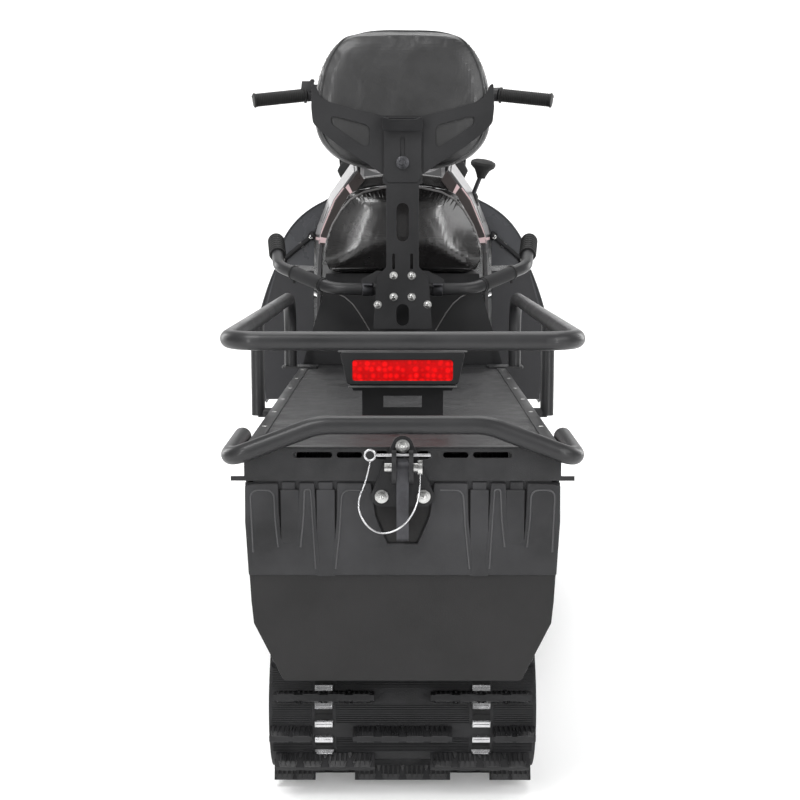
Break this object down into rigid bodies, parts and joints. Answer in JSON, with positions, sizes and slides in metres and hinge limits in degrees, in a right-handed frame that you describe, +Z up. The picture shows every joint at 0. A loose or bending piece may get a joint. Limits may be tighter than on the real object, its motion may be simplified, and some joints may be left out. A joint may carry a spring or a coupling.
{
  "type": "snowmobile",
  "caption": "Utility snowmobile with a lugged track, cargo hoop, passenger backrest, tow hitch and a pair of steered skis.",
  "frame": {"origin": "middle of the footprint on the snow, under the centre of the whole length", "axes": "+X to the rider's right, +Y forward to the ski tips, +Z up"},
  "size_m": [0.86, 3.0839, 1.235],
  "materials": {
    "track_rubber": "worn black rubber with moulded lugs",
    "bare_alloy": "bare alloy, dulled",
    "wheel_plastic": "moulded black plastic",
    "black_metal": "black powder coat, satin",
    "tube_metal": "black powder-coated tube",
    "tunnel_metal": "black coated sheet",
    "shock_metal": "dark enamelled spring steel",
    "lamp_red": "red lamp lens",
    "flap_rubber": "moulded black flap",
    "hitch_steel": "dark plated steel",
    "wire_steel": "bright wire",
    "base_plastic": "grained black plastic",
    "seat_leather": "glossy black seat cover",
    "grip_rubber": "ribbed black rubber",
    "cover_plastic": "pale painted plastic",
    "cowl_plastic": "dark grey painted plastic",
    "screen": "smoked clear screen",
    "engine_metal": "cast alloy",
    "ski_plastic": "moulded black ski"
  },
  "bodies": {
    "root": {"track": "track_rubber", "slide_rails": "bare_alloy", "idler_wheels": "wheel_plastic", "suspension_arms": "black_metal", "rear_shocks": "shock_metal", "drive_sprockets": "wheel_plastic", "tunnel": "tunnel_metal", "footboards": "tunnel_metal", "rear_bumper": "tube_metal", "cargo_hoop": "tube_metal", "lamp_bracket": "black_metal", "tail_lamp": "lamp_red", "rear_flap": "flap_rubber", "hitch_plate": "hitch_steel", "hitch_tongue": "hitch_steel", "hitch_pin": "hitch_steel", "hitch_clip": "wire_steel", "hitch_tether": "wire_steel", "seat_base": "base_plastic", "seat_cushion": "seat_leather", "backrest_cushion": "seat_leather", "backrest_post": "black_metal", "backrest_wings": "black_metal", "grab_rail": "tube_metal", "grab_grips": "grip_rubber", "tank_covers": "cover_plastic", "dash_console": "base_plastic", "side_panels": "cowl_plastic", "belly_pan": "base_plastic", "front_frame": "bare_alloy", "engine_block": "engine_metal", "front_bumper": "tube_metal", "ski_arms": "black_metal", "front_shocks": "shock_metal"},
    "steering": {"steering_column": "black_metal", "handlebar": "tube_metal", "bar_grips": "grip_rubber"},
    "tie_link": {"tie_rods": "hitch_steel"},
    "ski_left_leg": {"spindle_left": "black_metal", "ski_left": "ski_plastic"},
    "ski_right_leg": {"spindle_right": "black_metal", "ski_right": "ski_plastic"},
    "hood_lid": {"hood": "cowl_plastic", "windshield": "screen"}
  },
  "joints": [
    {"name": "steering_turn", "type": "hinge", "parent": "root", "child": "steering", "pos_m": [0, 0.33, 1.062], "axis": [0, -0.4067, 0.9135], "range_deg": [-30, 30]},
    {"name": "ski_left_turn", "type": "hinge", "parent": "root", "child": "ski_left_leg", "pos_m": [-0.37, 1, 0.074], "axis": [0, -0.4067, 0.9135], "range_deg": [-30, 30]},
    {"name": "ski_right_turn", "type": "hinge", "parent": "root", "child": "ski_right_leg", "pos_m": [0.37, 1, 0.074], "axis": [0, -0.4067, 0.9135], "range_deg": [-30, 30]},
    {"name": "tie_rod_swing", "type": "hinge", "parent": "steering", "child": "tie_link", "pos_m": [0, 0.55166, 0.36746], "axis": [0, -0.4067, 0.9135], "range_deg": [-30, 30]},
    {"name": "hood_open", "type": "hinge", "parent": "root", "child": "hood_lid", "pos_m": [0, 1.29, 0.47], "axis": [-1, 0, 0], "range_deg": [0, 60]}
  ],
  "couplings": [
    {"joint": "ski_left_turn", "follows": "steering_turn", "ratio": 1},
    {"joint": "ski_right_turn", "follows": "steering_turn", "ratio": 1},
    {"joint": "tie_rod_swing", "follows": "steering_turn", "ratio": -1}
  ]
}
